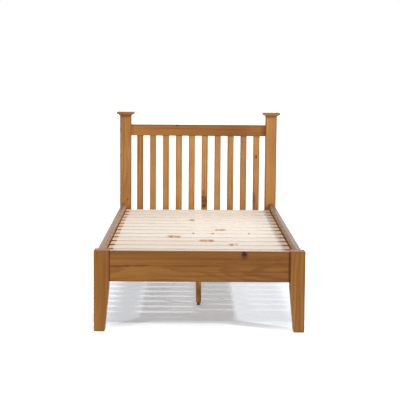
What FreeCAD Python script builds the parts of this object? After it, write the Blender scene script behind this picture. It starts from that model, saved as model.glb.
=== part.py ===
import FreeCAD, Part
import Sketcher
import os
import re

# Slatted pine bedstead for a 900 x 1900 mm mattress: headboard with upright slats, low foot end,
# side rails, cross slats on ledgers, and a centre rail on two support legs with levelling feet.
# +Z is up, the foot end faces -Y, and the origin is on the floor under the middle of the bed.

HEAD_SLATS = 10
BED_SLATS = 14
LEDGER_SCREWS = BED_SLATS // 2

# Driving dimensions, in millimetres
DRIVING = {
    # whole frame
    "frame_width": 985,
    "clear_length": 1920,
    # head posts and their caps
    "post_size": 70,
    "post_height": 932,
    "post_edge": 3,
    "cap_overhang": 19,
    "cap_slab": 14,
    "cap_flare": 8,
    "cap_nose": 5,
    "cap_step": 1,
    "cap_collar": 2,
    "cap_edge": 2,
    # foot legs, tapered on the inside face
    "leg_size": 70,
    "leg_rise": 3,
    "leg_foot": 50,
    "taper_drop": 29,
    "leg_edge": 3,
    # side rails and foot rail
    "rail_bottom": 236,
    "rail_height": 144,
    "rail_edge": 3,
    "side_rail_thick": 25,
    "side_rail_inset": 13,
    "foot_rail_thick": 22,
    "foot_rail_recess": 8,
    # tenons of the foot rail and the headboard rails
    "tenon_thick": 10,
    "tenon_length": 35,
    "tenon_shoulder": 12,
    "end_gap": 1,
    # headboard
    "head_rail_thick": 25,
    "head_rail_recess": 20,
    "top_rail_height": 70,
    "top_rail_drop": 57,
    "bottom_rail_height": 94,
    "head_slat_width": 40,
    "head_slat_thick": 16,
    "head_slat_end_gap": 36,
    "head_slat_housing": 12,
    "head_slat_edge": 2,
    # bed slats and the ledgers under their ends
    "slat_width": 90,
    "slat_thick": 18,
    "slat_recess": 38,
    "slat_side_gap": 5.5,
    "slat_foot_gap": 8,
    "slat_head_gap": 21.5,
    "slat_edge": 2.5,
    "ledger_width": 28,
    "ledger_height": 30,
    "ledger_end_gap": 4,
    "spacer_height": 16,
    "spacer_play": 0.5,
    # centre rail and its hangers
    "centre_rail_width": 34,
    "centre_rail_height": 60,
    "hanger_sheet": 2,
    "hanger_seat_depth": 30,
    "hanger_height": 36,
    "hanger_ear": 20,
    "hanger_hole_margin": 9,
    "hanger_play": 0.5,
    # support legs and levelling feet
    "support_leg_size": 32,
    "support_leg_foot": 27,
    "support_leg_spacing": 770,
    "support_leg_edge": 5,
    "foot_gap": 3,
    "pad_size": 20,
    "pad_height": 6,
    "pad_taper": 2,
    "pad_floor": 2,
    "stem_size": 8,
    "stem_length": 45,
    "stem_play": 0.1,
    "stem_end_play": 0.2,
    "stem_bore_play": 0.5,
    "sleeve_wall": 2,
    "sleeve_length": 18,
    # dowels and double-ended bolts
    "fastener_play": 0.1,
    "dowel_size": 10,
    "dowel_length": 50,
    "dowel_low": 68,
    "dowel_high": 116,
    "cap_dowel_size": 12,
    "cap_dowel_in_post": 20,
    "cap_dowel_in_cap": 12,
    "leg_bolt_size": 8,
    "leg_bolt_length": 60,
    # steel corner brackets and their fixings
    "bracket_sheet": 2.5,
    "bracket_bend": 1.5,
    "bracket_rail_arm": 40,
    "bracket_leg_arm": 26,
    "bracket_height": 50,
    "bracket_gap": 4,
    "bracket_hole_margin": 12,
    "bracket_bolt_reach": 16,
    "bracket_screw_reach": 26,
    "bolt_size": 6,
    "bolt_length": 25,
    "bolt_head_size": 12,
    "bolt_head_height": 4,
    "plate_screw_size": 4,
    "plate_screw_length": 16,
    "plate_screw_head_size": 8,
    "plate_screw_head_height": 2.5,
    # countersunk wood screws
    "ledger_screw_size": 4.5,
    "ledger_screw_bite": 14,
    "ledger_screw_head": 9,
    "slat_screw_size": 4,
    "slat_screw_bite": 18,
    "slat_screw_head": 8,
}

# Places and sizes that follow from the driving dimensions
FOLLOWING = {
    "half_width": "frame_width / 2",
    "foot_y": "-(leg_size + clear_length + post_size + cap_overhang) / 2",
    "leg_back": "foot_y + leg_size",
    "head_y": "leg_back + clear_length",
    "mid_y": "leg_back + clear_length / 2",
    "leg_inner": "half_width - leg_size",
    "post_inner": "half_width - post_size",
    "side_rail_centre": "half_width - side_rail_inset - side_rail_thick / 2",
    "rail_inner": "half_width - side_rail_inset - side_rail_thick",
    "rail_top": "rail_bottom + rail_height",
    "leg_height": "rail_top + leg_rise",
    "taper_height": "rail_bottom - taper_drop",
    "rail_tenon_height": "rail_height - 2 * tenon_shoulder",
    "foot_rail_back": "foot_y + foot_rail_recess + foot_rail_thick",
    "head_rail_front": "head_y + head_rail_recess",
    "top_rail_base": "post_height - top_rail_drop - top_rail_height",
    "bottom_rail_top": "rail_bottom + bottom_rail_height",
    "head_slat_pitch": f"(2 * post_inner - 2 * head_slat_end_gap - head_slat_width) / {HEAD_SLATS - 1}",
    "head_slat_length": "top_rail_base - bottom_rail_top + 2 * head_slat_housing",
    "ledger_top": "rail_top - slat_recess - slat_thick",
    "slat_length": "2 * (rail_inner - slat_side_gap)",
    "slat_pitch": f"(clear_length - slat_foot_gap - slat_head_gap - slat_width) / {BED_SLATS - 1}",
    "first_slat_screw": "slat_foot_gap + slat_width / 2",
    "first_ledger_screw": "slat_foot_gap + (slat_pitch + slat_width) / 2",
    "slat_screw_x": "rail_inner - (ledger_width + slat_side_gap) / 2",
    "centre_rail_base": "ledger_top - centre_rail_height",
    "centre_span": "head_rail_front - foot_rail_back",
    "centre_mid": "foot_rail_back + centre_span / 2",
    "hanger_base": "centre_rail_base - hanger_sheet",
    "hanger_seat_width": "centre_rail_width + 2 * hanger_play",
    "hanger_half": "hanger_seat_width / 2 + hanger_sheet + hanger_ear",
    "hanger_screw_x": "hanger_half - hanger_ear / 2",
    "bracket_base": "ledger_top - ledger_height - bracket_gap - bracket_height",
    "bracket_hole_span": "bracket_height - 2 * bracket_hole_margin",
    "hanger_hole_span": "hanger_height - 2 * hanger_hole_margin",
    "bolt_hole": "bolt_size + 2 * fastener_play",
    "bolt_hole_depth": "bolt_length - bracket_sheet + end_gap",
    "plate_screw_hole": "plate_screw_size + 2 * fastener_play",
    "bracket_screw_depth": "plate_screw_length - bracket_sheet + end_gap",
    "hanger_screw_depth": "plate_screw_length - hanger_sheet + end_gap",
    "dowel_hole": "dowel_size + 2 * fastener_play",
    "dowel_hole_depth": "dowel_length / 2 + end_gap",
    "leg_bolt_hole": "leg_bolt_size + 2 * fastener_play",
    "leg_bolt_depth": "leg_bolt_length / 2 + end_gap",
    "ledger_screw_hole": "ledger_screw_size + 2 * fastener_play",
    "ledger_screw_depth": "ledger_screw_bite + end_gap",
    "slat_screw_hole": "slat_screw_size + 2 * fastener_play",
    "slat_screw_depth": "slat_screw_bite + end_gap",
    "foot_reach": "pad_height + foot_gap",
    "stem_bore": "stem_size + 2 * stem_play",
    "sleeve_size": "stem_bore + 2 * sleeve_wall",
}

doc = FreeCAD.newDocument("PineBedstead")


def formula(words):
    """Put the sheet's name before each size or place named in a formula."""

    def with_sheet(match):
        name = match.group()
        if name in DRIVING:
            return f"Sizes.{name}"
        return f"Places.{name}"

    return re.sub(r"[a-z]\w*", with_sheet, words)


def fill_sheet(name, cells):
    sheet = doc.addObject("Spreadsheet::Sheet", name)
    for row, (alias, text) in enumerate(cells.items(), start=1):
        sheet.set(f"A{row}", alias)
        sheet.set(f"B{row}", text)
        sheet.setAlias(f"B{row}", alias)


fill_sheet("Sizes", {alias: str(value) for alias, value in DRIVING.items()})
fill_sheet("Places", {alias: "=" + formula(words) for alias, words in FOLLOWING.items()})
doc.recompute()

# Turns that point a rod, which starts along +Z, along another axis
TURNS = {
    "+X": FreeCAD.Rotation(FreeCAD.Vector(0, 1, 0), 90),
    "-X": FreeCAD.Rotation(FreeCAD.Vector(0, 1, 0), -90),
    "+Y": FreeCAD.Rotation(FreeCAD.Vector(1, 0, 0), -90),
    "-Y": FreeCAD.Rotation(FreeCAD.Vector(1, 0, 0), 90),
    "+Z": FreeCAD.Rotation(),
    "-Z": FreeCAD.Rotation(FreeCAD.Vector(1, 0, 0), 180),
}

pieces = []


def bind(thing, formulas):
    for path, words in formulas.items():
        thing.setExpression(path, formula(words))


def put(thing, place):
    x, y, z = place
    bind(thing, {"Placement.Base.x": x, "Placement.Base.y": y, "Placement.Base.z": z})


def new_piece(label, place):
    body = doc.addObject("PartDesign::Body", label)
    body.Label = label
    put(body, place)
    pieces.append(body)
    return body


def mirrored_piece(label, source, plane, through="0"):
    """The opposite-hand copy of a piece, across the plane x = through or y = through."""
    copy = doc.addObject("Part::Mirroring", label)
    copy.Label = label
    copy.Source = source
    copy.Normal = FreeCAD.Vector(1, 0, 0) if plane == "x" else FreeCAD.Vector(0, 1, 0)
    bind(copy, {f"Base.{plane}": through})
    pieces.append(copy)
    return copy


def block(body, kind, name, size, place=("0", "0", "0")):
    box = body.newObject(f"PartDesign::{kind}Box", name)
    length, width, height = size
    bind(box, {"Length": length, "Width": width, "Height": height})
    put(box, place)
    return box


def rod(body, kind, name, along, size, length, place=("0", "0", "0")):
    cylinder = body.newObject(f"PartDesign::{kind}Cylinder", name)
    cylinder.Placement = FreeCAD.Placement(FreeCAD.Vector(), TURNS[along])
    bind(cylinder, {"Radius": f"({size}) / 2", "Height": length})
    put(cylinder, place)
    return cylinder


def cone(body, kind, name, along, start_size, end_size, length, place=("0", "0", "0")):
    taper = body.newObject(f"PartDesign::{kind}Cone", name)
    taper.Placement = FreeCAD.Placement(FreeCAD.Vector(), TURNS[along])
    bind(taper, {"Radius1": f"({start_size}) / 2", "Radius2": f"({end_size}) / 2", "Height": length})
    put(taper, place)
    return taper


def flat_head_fastener(body, along, size, length, head_size, head_height, place):
    """A round shank along an axis with a flat head; place is the middle of the face under the head."""
    away = {"+": "-", "-": "+"}[along[0]]
    top = [f"{words} {away} {head_height}" if axis == along[1] else words for axis, words in zip("XYZ", place)]
    head = rod(body, "Additive", "Head", along, head_size, head_height, top)
    shank = rod(body, "Additive", "Shank", along, size, f"{length} + {head_height}", top)
    return [head, shank]


def sunk_head_fastener(body, along, size, length, head_size, place):
    """A round shank along an axis with a countersunk head; place is the middle of the head's face."""
    shank = rod(body, "Additive", "Shank", along, size, length, place)
    head = cone(body, "Additive", "Head", along, head_size, size, f"({head_size} - {size}) / 2", place)
    return [shank, head]


def origin_part(body, role):
    return next(part for part in body.Origin.OriginFeatures if part.Role == role)


def row_of(body, name, originals, axis, length, count):
    pattern = body.newObject("PartDesign::LinearPattern", name)
    pattern.Originals = originals
    pattern.Direction = (origin_part(body, axis), [""])
    bind(pattern, {"Length": length})
    pattern.Occurrences = count
    body.Tip = pattern
    return pattern


def copies_of(body, name, originals, rows=(), mirrors=()):
    """Copies in rows, each (axis, length, count), and then across planes of the body's own origin."""
    copies = body.newObject("PartDesign::MultiTransform", name)
    copies.Originals = originals
    steps = []
    for axis, length, count in rows:
        pattern = body.newObject("PartDesign::LinearPattern", f"{name}Row")
        pattern.Direction = (origin_part(body, axis), [""])
        bind(pattern, {"Length": length})
        pattern.Occurrences = count
        steps.append(pattern)
    for plane in mirrors:
        mirror = body.newObject("PartDesign::Mirrored", f"{name}Mirror")
        mirror.MirrorPlane = (origin_part(body, plane), [""])
        steps.append(mirror)
    copies.Transformations = steps
    body.Tip = copies


def round_edges(body, name, radius, chosen):
    """Round the edges of the body's last feature that the function chosen picks."""
    doc.recompute()
    base = body.Tip
    names = [f"Edge{number}" for number, edge in enumerate(base.Shape.Edges, start=1) if chosen(edge)]
    fillet = body.newObject("PartDesign::Fillet", name)
    fillet.Base = (base, names)
    bind(fillet, {"Radius": radius})


def edges_along(axis):
    """Straight edges of the body that run along X, Y or Z."""
    direction = FreeCAD.Vector(*(float(letter == axis) for letter in "XYZ"))

    def chosen(edge):
        first, last = edge.Vertexes[0].Point, edge.Vertexes[-1].Point
        return (last - first).cross(direction).Length < 0.001 and edge.Length > 0.001

    return chosen


def outline(sketch, corners):
    """A closed outline through corners, each (x, y) as formulas, the first at the sketch's origin."""
    count = len(corners)
    for index in range(count):
        sketch.addGeometry(Part.LineSegment(FreeCAD.Vector(index, 0, 0), FreeCAD.Vector(index, 1, 0)))
    for index in range(count):
        sketch.addConstraint(Sketcher.Constraint("Coincident", index, 2, (index + 1) % count, 1))
    sketch.addConstraint(Sketcher.Constraint("Coincident", 0, 1, -1, 1))
    for index, corner in enumerate(corners[1:], start=1):
        for kind, words in zip(("DistanceX", "DistanceY"), corner):
            if words == "0":
                line_kind = "PointOnObject"
                axis = -2 if kind == "DistanceX" else -1
                sketch.addConstraint(Sketcher.Constraint(line_kind, index, 1, axis))
                continue
            number = sketch.addConstraint(Sketcher.Constraint(kind, -1, 1, index, 1, 10.0 + index))
            sketch.renameConstraint(number, f"{kind}{index}")
            bind(sketch, {f"Constraints.{kind}{index}": words})


# Head posts: square, with mortises for both headboard rails, straight to the floor
post = new_piece("head_post_left", ("-half_width", "head_y", "0"))
block(post, "Additive", "PostBlank", ("post_size", "post_size", "post_height"))
round_edges(post, "PostEdges", "post_edge", edges_along("Z"))
head_mortise = ("post_size - tenon_length - end_gap", "head_rail_recess + (head_rail_thick - tenon_thick) / 2")
for name, base, height in (
    ("TopMortise", "top_rail_base", "top_rail_height"),
    ("BottomMortise", "rail_bottom", "bottom_rail_height"),
):
    block(
        post,
        "Subtractive",
        name,
        ("tenon_length + end_gap", "tenon_thick", f"{height} - 2 * tenon_shoulder"),
        (*head_mortise, f"{base} + tenon_shoulder"),
    )
for name, height in (("LowDowelHole", "dowel_low"), ("HighDowelHole", "dowel_high")):
    place = ("half_width - side_rail_centre", "0", f"rail_bottom + {height}")
    rod(post, "Subtractive", name, "+Y", "dowel_hole", "dowel_hole_depth", place)
for name, height in (("LowBoltHole", "0"), ("HighBoltHole", "bracket_hole_span")):
    place = (
        "half_width - rail_inner + bracket_bolt_reach",
        "0",
        f"bracket_base + bracket_hole_margin + {height}",
    )
    rod(post, "Subtractive", name, "+Y", "bolt_hole", "bolt_hole_depth", place)
rod(
    post,
    "Subtractive",
    "CapDowelHole",
    "-Z",
    "cap_dowel_size + 2 * fastener_play",
    "cap_dowel_in_post + end_gap",
    ("post_size / 2", "post_size / 2", "post_height"),
)
mirrored_piece("head_post_right", post, "x")

# Post caps: a square slab with a round nose, stepped back to a flare that narrows to the post
cap = new_piece("post_cap_left", ("-half_width + post_size / 2", "head_y + post_size / 2", "post_height"))
flare = cap.newObject("PartDesign::AdditiveWedge", "Flare")
flare.Placement = FreeCAD.Placement(FreeCAD.Vector(), TURNS["-Y"])
for low, high, half in (
    ("Xmin", "Xmax", "post_size / 2 + cap_collar"),
    ("Zmin", "Zmax", "post_size / 2 + cap_collar"),
    ("X2min", "X2max", "post_size / 2 + cap_overhang - cap_nose - cap_step"),
    ("Z2min", "Z2max", "post_size / 2 + cap_overhang - cap_nose - cap_step"),
):
    bind(flare, {low: f"-({half})", high: half})
bind(flare, {"Ymin": "0", "Ymax": "cap_flare"})
block(
    cap,
    "Additive",
    "Slab",
    ("post_size + 2 * cap_overhang", "post_size + 2 * cap_overhang", "cap_slab"),
    ("-post_size / 2 - cap_overhang", "-post_size / 2 - cap_overhang", "cap_flare"),
)
doc.recompute()
cap_top = cap.Shape.BoundBox.ZMax - cap.Placement.Base.z
slab_reach = cap.Shape.BoundBox.XLength / 2


def under_slab(edge):
    """Whether an edge lies at the outside of the slab, below its top."""
    box = edge.BoundBox
    return max(-box.XMin, box.XMax, -box.YMin, box.YMax) > slab_reach - 0.001 and box.ZMax < cap_top - 0.001


round_edges(cap, "SlabNose", "cap_nose", under_slab)
round_edges(cap, "SlabEdges", "cap_edge", lambda edge: edge.BoundBox.ZMin > cap_top - 0.001)
rod(
    cap,
    "Subtractive",
    "DowelHole",
    "+Z",
    "cap_dowel_size + 2 * fastener_play",
    "cap_dowel_in_cap + end_gap",
)
mirrored_piece("post_cap_right", cap, "x")


def tenoned_rail(label, place, length, thick, height):
    """A board along X with rounded long edges and a stub tenon at each end; place is the first tenon's end."""
    rail = new_piece(label, place)
    block(rail, "Additive", "Board", (length, thick, height), ("tenon_length", "0", "0"))
    round_edges(rail, "BoardEdges", "rail_edge", edges_along("X"))
    block(
        rail,
        "Additive",
        "Tenons",
        (f"{length} + 2 * tenon_length", "tenon_thick", f"{height} - 2 * tenon_shoulder"),
        ("0", f"({thick} - tenon_thick) / 2", "tenon_shoulder"),
    )
    return rail


def slat_mortises(rail, base):
    """The row of mortises that hold one end of every headboard slat."""
    first = block(
        rail,
        "Subtractive",
        "SlatMortise",
        ("head_slat_width", "head_slat_thick", "head_slat_housing + end_gap"),
        ("tenon_length + head_slat_end_gap", "(head_rail_thick - head_slat_thick) / 2", base),
    )
    row_of(rail, "SlatMortises", [first], "X_Axis", f"{HEAD_SLATS - 1} * head_slat_pitch", HEAD_SLATS)


def hanger_screw_holes(rail, along, half_length, face):
    """Pilot holes for the four screws of a centre rail hanger."""
    for side_name, side in (("Left", "-"), ("Right", "+")):
        for level_name, level in (("Low", "0"), ("High", "hanger_hole_span")):
            place = (
                f"tenon_length + {half_length} {side} hanger_screw_x",
                face,
                f"hanger_base - rail_bottom + hanger_hole_margin + {level}",
            )
            name = f"{level_name}{side_name}ScrewHole"
            rod(rail, "Subtractive", name, along, "plate_screw_hole", "hanger_screw_depth", place)


# Headboard rails
top_rail = tenoned_rail(
    "headboard_top_rail",
    ("-post_inner - tenon_length", "head_rail_front", "top_rail_base"),
    "2 * post_inner",
    "head_rail_thick",
    "top_rail_height",
)
slat_mortises(top_rail, "0")
bottom_rail = tenoned_rail(
    "headboard_bottom_rail",
    ("-post_inner - tenon_length", "head_rail_front", "rail_bottom"),
    "2 * post_inner",
    "head_rail_thick",
    "bottom_rail_height",
)
slat_mortises(bottom_rail, "bottom_rail_height - head_slat_housing - end_gap")
hanger_screw_holes(bottom_rail, "+Y", "post_inner", "0")

# Headboard slats, housed in both rails
for index in range(HEAD_SLATS):
    slat = new_piece(
        f"headboard_slat_{index + 1:02d}",
        (
            f"-post_inner + head_slat_end_gap + {index} * head_slat_pitch",
            "head_rail_front + (head_rail_thick - head_slat_thick) / 2",
            "bottom_rail_top - head_slat_housing",
        ),
    )
    block(slat, "Additive", "Strip", ("head_slat_width", "head_slat_thick", "head_slat_length"))
    round_edges(slat, "StripEdges", "head_slat_edge", edges_along("Z"))

# Foot legs: square at the top, with the inside face tapered below the rail
leg = new_piece("foot_leg_left", ("-half_width", "foot_y", "0"))
side_view = leg.newObject("Sketcher::SketchObject", "LegOutline")
side_view.AttachmentSupport = [(origin_part(leg, "XZ_Plane"), "")]
side_view.MapMode = "FlatFace"
outline(
    side_view,
    (
        ("0", "0"),
        ("leg_foot", "0"),
        ("leg_size", "taper_height"),
        ("leg_size", "leg_height"),
        ("0", "leg_height"),
    ),
)
leg_pad = leg.newObject("PartDesign::Pad", "LegBlank")
leg_pad.Profile = side_view
leg_pad.Reversed = True
bind(leg_pad, {"Length": "leg_size"})
doc.recompute()
leg_top = leg_pad.Shape.BoundBox.ZMax


def leg_edge(edge):
    """Edges that climb the leg, and those round its top."""
    box = edge.BoundBox
    return box.ZLength > 1 or box.ZMin > leg_top - 0.001


round_edges(leg, "LegEdges", "leg_edge", leg_edge)
block(
    leg,
    "Subtractive",
    "RailMortise",
    ("tenon_length + end_gap", "tenon_thick", "rail_tenon_height"),
    (
        "leg_size - tenon_length - end_gap",
        "foot_rail_recess + (foot_rail_thick - tenon_thick) / 2",
        "rail_bottom + tenon_shoulder",
    ),
)
for name, height in (("LowDowelHole", "dowel_low"), ("HighDowelHole", "dowel_high")):
    place = ("half_width - side_rail_centre", "leg_size", f"rail_bottom + {height}")
    rod(leg, "Subtractive", name, "-Y", "dowel_hole", "dowel_hole_depth", place)
for name, height in (("LowBoltHole", "0"), ("HighBoltHole", "bracket_hole_span")):
    place = (
        "half_width - rail_inner + bracket_bolt_reach",
        "leg_size",
        f"bracket_base + bracket_hole_margin + {height}",
    )
    rod(leg, "Subtractive", name, "-Y", "bolt_hole", "bolt_hole_depth", place)
mirrored_piece("foot_leg_right", leg, "x")

# Foot rail, tenoned into the legs and set back from their faces
foot_rail = tenoned_rail(
    "foot_rail",
    ("-leg_inner - tenon_length", "foot_y + foot_rail_recess", "rail_bottom"),
    "2 * leg_inner",
    "foot_rail_thick",
    "rail_height",
)
hanger_screw_holes(foot_rail, "-Y", "leg_inner", "foot_rail_thick")

# Side rails, dowelled to the legs and posts
side_rail = new_piece("side_rail_left", ("-half_width + side_rail_inset", "leg_back", "rail_bottom"))
block(side_rail, "Additive", "Board", ("side_rail_thick", "clear_length", "rail_height"))
round_edges(side_rail, "BoardEdges", "rail_edge", edges_along("Y"))
for level_name, height in (("Low", "dowel_low"), ("High", "dowel_high")):
    for end_name, along, end in (("Foot", "+Y", "0"), ("Head", "-Y", "clear_length")):
        name = f"{level_name}{end_name}DowelHole"
        place = ("side_rail_thick / 2", end, height)
        rod(side_rail, "Subtractive", name, along, "dowel_hole", "dowel_hole_depth", place)
for level_name, height in (("Low", "0"), ("High", "bracket_hole_span")):
    for end_name, y in (("Foot", "bracket_screw_reach"), ("Head", "clear_length - bracket_screw_reach")):
        name = f"{level_name}{end_name}ScrewHole"
        place = ("side_rail_thick", y, f"bracket_base - rail_bottom + bracket_hole_margin + {height}")
        rod(side_rail, "Subtractive", name, "-X", "plate_screw_hole", "bracket_screw_depth", place)
ledger_hole = rod(
    side_rail,
    "Subtractive",
    "LedgerScrewHole",
    "-X",
    "ledger_screw_hole",
    "ledger_screw_depth",
    ("side_rail_thick", "first_ledger_screw", "ledger_top - ledger_height / 2 - rail_bottom"),
)
ledger_row = f"{2 * (LEDGER_SCREWS - 1)} * slat_pitch"
row_of(side_rail, "LedgerScrewHoles", [ledger_hole], "Y_Axis", ledger_row, LEDGER_SCREWS)
mirrored_piece("side_rail_right", side_rail, "x")

# Ledgers that carry the ends of the bed slats, with raised spacers that keep the slats apart
ledger = new_piece(
    "slat_ledger_left",
    ("-rail_inner", "leg_back + ledger_end_gap", "ledger_top - ledger_height"),
)
block(ledger, "Additive", "Batten", ("ledger_width", "clear_length - 2 * ledger_end_gap", "ledger_height"))
spacer = block(
    ledger,
    "Additive",
    "Spacer",
    ("ledger_width", "slat_pitch - slat_width - 2 * spacer_play", "ledger_height + spacer_height"),
    ("0", "slat_foot_gap - ledger_end_gap + slat_width + spacer_play", "0"),
)
row_of(ledger, "Spacers", [spacer], "Y_Axis", f"{BED_SLATS - 2} * slat_pitch", BED_SLATS - 1)
ledger_screw_place = ("ledger_width", "first_ledger_screw - ledger_end_gap", "ledger_height / 2")
clearance_hole = rod(
    ledger, "Subtractive", "ScrewHole", "-X", "ledger_screw_hole", "ledger_width", ledger_screw_place
)
countersink = cone(
    ledger,
    "Subtractive",
    "ScrewSink",
    "-X",
    "ledger_screw_head + 2 * fastener_play",
    "ledger_screw_hole",
    "(ledger_screw_head - ledger_screw_size) / 2",
    ledger_screw_place,
)
row_of(ledger, "ScrewHoles", [clearance_hole, countersink], "Y_Axis", ledger_row, LEDGER_SCREWS)
slat_hole = rod(
    ledger,
    "Subtractive",
    "SlatScrewHole",
    "-Z",
    "slat_screw_hole",
    "slat_screw_depth",
    ("rail_inner - slat_screw_x", "first_slat_screw - ledger_end_gap", "ledger_height"),
)
slat_row = f"{BED_SLATS - 1} * slat_pitch"
row_of(ledger, "SlatScrewHoles", [slat_hole], "Y_Axis", slat_row, BED_SLATS)
mirrored_piece("slat_ledger_right", ledger, "x")

# Bed slats, screwed to the ledgers
for index in range(BED_SLATS):
    slat = new_piece(
        f"bed_slat_{index + 1:02d}",
        ("-slat_length / 2", f"leg_back + slat_foot_gap + {index} * slat_pitch", "ledger_top"),
    )
    block(slat, "Additive", "Strip", ("slat_length", "slat_width", "slat_thick"))
    round_edges(slat, "StripEdges", "slat_edge", edges_along("X"))
    for side_name, side in (("Left", "-"), ("Right", "+")):
        place = (f"slat_length / 2 {side} slat_screw_x", "slat_width / 2", "slat_thick")
        rod(slat, "Subtractive", f"{side_name}ScrewHole", "-Z", "slat_screw_hole", "slat_thick", place)
        cone(
            slat,
            "Subtractive",
            f"{side_name}ScrewSink",
            "-Z",
            "slat_screw_head + 2 * fastener_play",
            "slat_screw_hole",
            "(slat_screw_head - slat_screw_size) / 2",
            place,
        )

# Centre rail under the slats, between the foot rail and the bottom rail of the headboard
centre_rail = new_piece(
    "centre_rail",
    ("-centre_rail_width / 2", "foot_rail_back + hanger_sheet + end_gap", "centre_rail_base"),
)
centre_rail_length = "centre_span - 2 * (hanger_sheet + end_gap)"
block(centre_rail, "Additive", "Batten", ("centre_rail_width", centre_rail_length, "centre_rail_height"))
for name, side in (("FrontBoltHole", "-"), ("RearBoltHole", "+")):
    leg_y = f"mid_y {side} support_leg_spacing / 2 - foot_rail_back - hanger_sheet - end_gap"
    place = ("centre_rail_width / 2", leg_y, "0")
    rod(centre_rail, "Subtractive", name, "+Z", "leg_bolt_hole", "leg_bolt_depth", place)

# Hangers: a folded steel seat on a screwed plate at each end of the centre rail
hanger = new_piece("centre_hanger_foot", ("-hanger_half", "foot_rail_back", "hanger_base"))
block(hanger, "Additive", "Plate", ("2 * hanger_half", "hanger_sheet", "hanger_height"))
block(
    hanger,
    "Additive",
    "Seat",
    ("hanger_seat_width + 2 * hanger_sheet", "hanger_seat_depth", "hanger_height"),
    ("hanger_ear", "hanger_sheet", "0"),
)
block(
    hanger,
    "Subtractive",
    "SeatHollow",
    ("hanger_seat_width", "hanger_seat_depth", "hanger_height"),
    ("hanger_ear + hanger_sheet", "hanger_sheet", "hanger_sheet"),
)
for side_name, x in (("Left", "hanger_ear / 2"), ("Right", "2 * hanger_half - hanger_ear / 2")):
    for level_name, height in (("Low", "0"), ("High", "hanger_hole_span")):
        place = (x, "0", f"hanger_hole_margin + {height}")
        name = f"{level_name}{side_name}ScrewHole"
        rod(hanger, "Subtractive", name, "+Y", "plate_screw_hole", "hanger_sheet", place)
mirrored_piece("centre_hanger_head", hanger, "y", "centre_mid")

# Support legs with their levelling feet: stem and pad at each
for end, side in (("front", "-"), ("rear", "+")):
    leg_y = f"mid_y {side} support_leg_spacing / 2"
    leg_length = "centre_rail_base - foot_reach"
    support = new_piece(f"support_leg_{end}", ("0", leg_y, "foot_reach"))
    cone(support, "Additive", "TurnedLeg", "+Z", "support_leg_foot", "support_leg_size", leg_length)
    round_edges(support, "LowerEdge", "support_leg_edge", lambda edge: edge.BoundBox.ZMax < 0.001)
    rod(support, "Subtractive", "SleeveHole", "+Z", "sleeve_size + 2 * fastener_play", "sleeve_length")
    rod(support, "Subtractive", "StemHole", "+Z", "stem_size + 2 * stem_bore_play", "stem_length")
    rod(support, "Subtractive", "BoltHole", "-Z", "leg_bolt_hole", "leg_bolt_depth", ("0", "0", leg_length))
    stem = new_piece(f"levelling_stem_{end}", ("0", leg_y, "pad_floor + stem_end_play"))
    rod(stem, "Additive", "Thread", "+Z", "stem_size", "stem_length")
    pad = new_piece(f"levelling_pad_{end}", ("0", leg_y, "0"))
    cone(pad, "Additive", "Base", "+Z", "pad_size", "pad_size - 2 * pad_taper", "pad_height")
    rod(pad, "Subtractive", "StemSeat", "+Z", "stem_bore", "pad_height - pad_floor", ("0", "0", "pad_floor"))

# Threaded sleeves set in the ends of the support legs
sleeves = new_piece("threaded_sleeves", ("0", "mid_y", "foot_reach"))
sleeve_place = ("0", "-support_leg_spacing / 2", "0")
sleeve = rod(sleeves, "Additive", "Sleeve", "+Z", "sleeve_size", "sleeve_length", sleeve_place)
bore = rod(sleeves, "Subtractive", "Bore", "+Z", "stem_bore", "sleeve_length", sleeve_place)
copies_of(sleeves, "Both", [sleeve, bore], mirrors=("XZ_Plane",))

# Steel corner brackets between the side rails and the legs or posts
bracket = new_piece("corner_bracket_foot_left", ("-rail_inner", "leg_back", "bracket_base"))
block(bracket, "Additive", "LegArm", ("bracket_leg_arm", "bracket_sheet", "bracket_height"))
block(bracket, "Additive", "RailArm", ("bracket_sheet", "bracket_rail_arm", "bracket_height"))
upright = edges_along("Z")


def bracket_bend_edge(reach):
    """The upright edge of the bend, at the given distance from both faces of the corner."""
    corner = FreeCAD.Vector(reach, reach, 0)

    def chosen(edge):
        foot = edge.Vertexes[0].Point
        return upright(edge) and (FreeCAD.Vector(foot.x, foot.y, 0) - corner).Length < 0.001

    return chosen


round_edges(bracket, "InnerBend", "bracket_bend", bracket_bend_edge(doc.Sizes.bracket_sheet))
round_edges(bracket, "OuterBend", "bracket_bend + bracket_sheet", bracket_bend_edge(0))
for level_name, height in (("Low", "0"), ("High", "bracket_hole_span")):
    z = f"bracket_hole_margin + {height}"
    bolt_place = ("bracket_bolt_reach", "0", z)
    screw_place = ("0", "bracket_screw_reach", z)
    for name, along, size, place in (
        (f"{level_name}BoltHole", "+Y", "bolt_hole", bolt_place),
        (f"{level_name}ScrewHole", "+X", "plate_screw_hole", screw_place),
    ):
        rod(bracket, "Subtractive", name, along, size, "bracket_sheet", place)
head_bracket = mirrored_piece("corner_bracket_head_left", bracket, "y", "mid_y")
mirrored_piece("corner_bracket_foot_right", bracket, "x")
mirrored_piece("corner_bracket_head_right", head_bracket, "x")

# Bolts from the brackets into the legs and posts
bolts = new_piece("bracket_bolts", ("0", "mid_y", "bracket_base + bracket_hole_margin"))
bolt_place = ("-rail_inner + bracket_bolt_reach", "-clear_length / 2 + bracket_sheet", "0")
bolt = flat_head_fastener(
    bolts, "-Y", "bolt_size", "bolt_length", "bolt_head_size", "bolt_head_height", bolt_place
)
all_corners = ("YZ_Plane", "XZ_Plane")
copies_of(bolts, "All", bolt, (("Z_Axis", "bracket_hole_span", 2),), all_corners)

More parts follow.
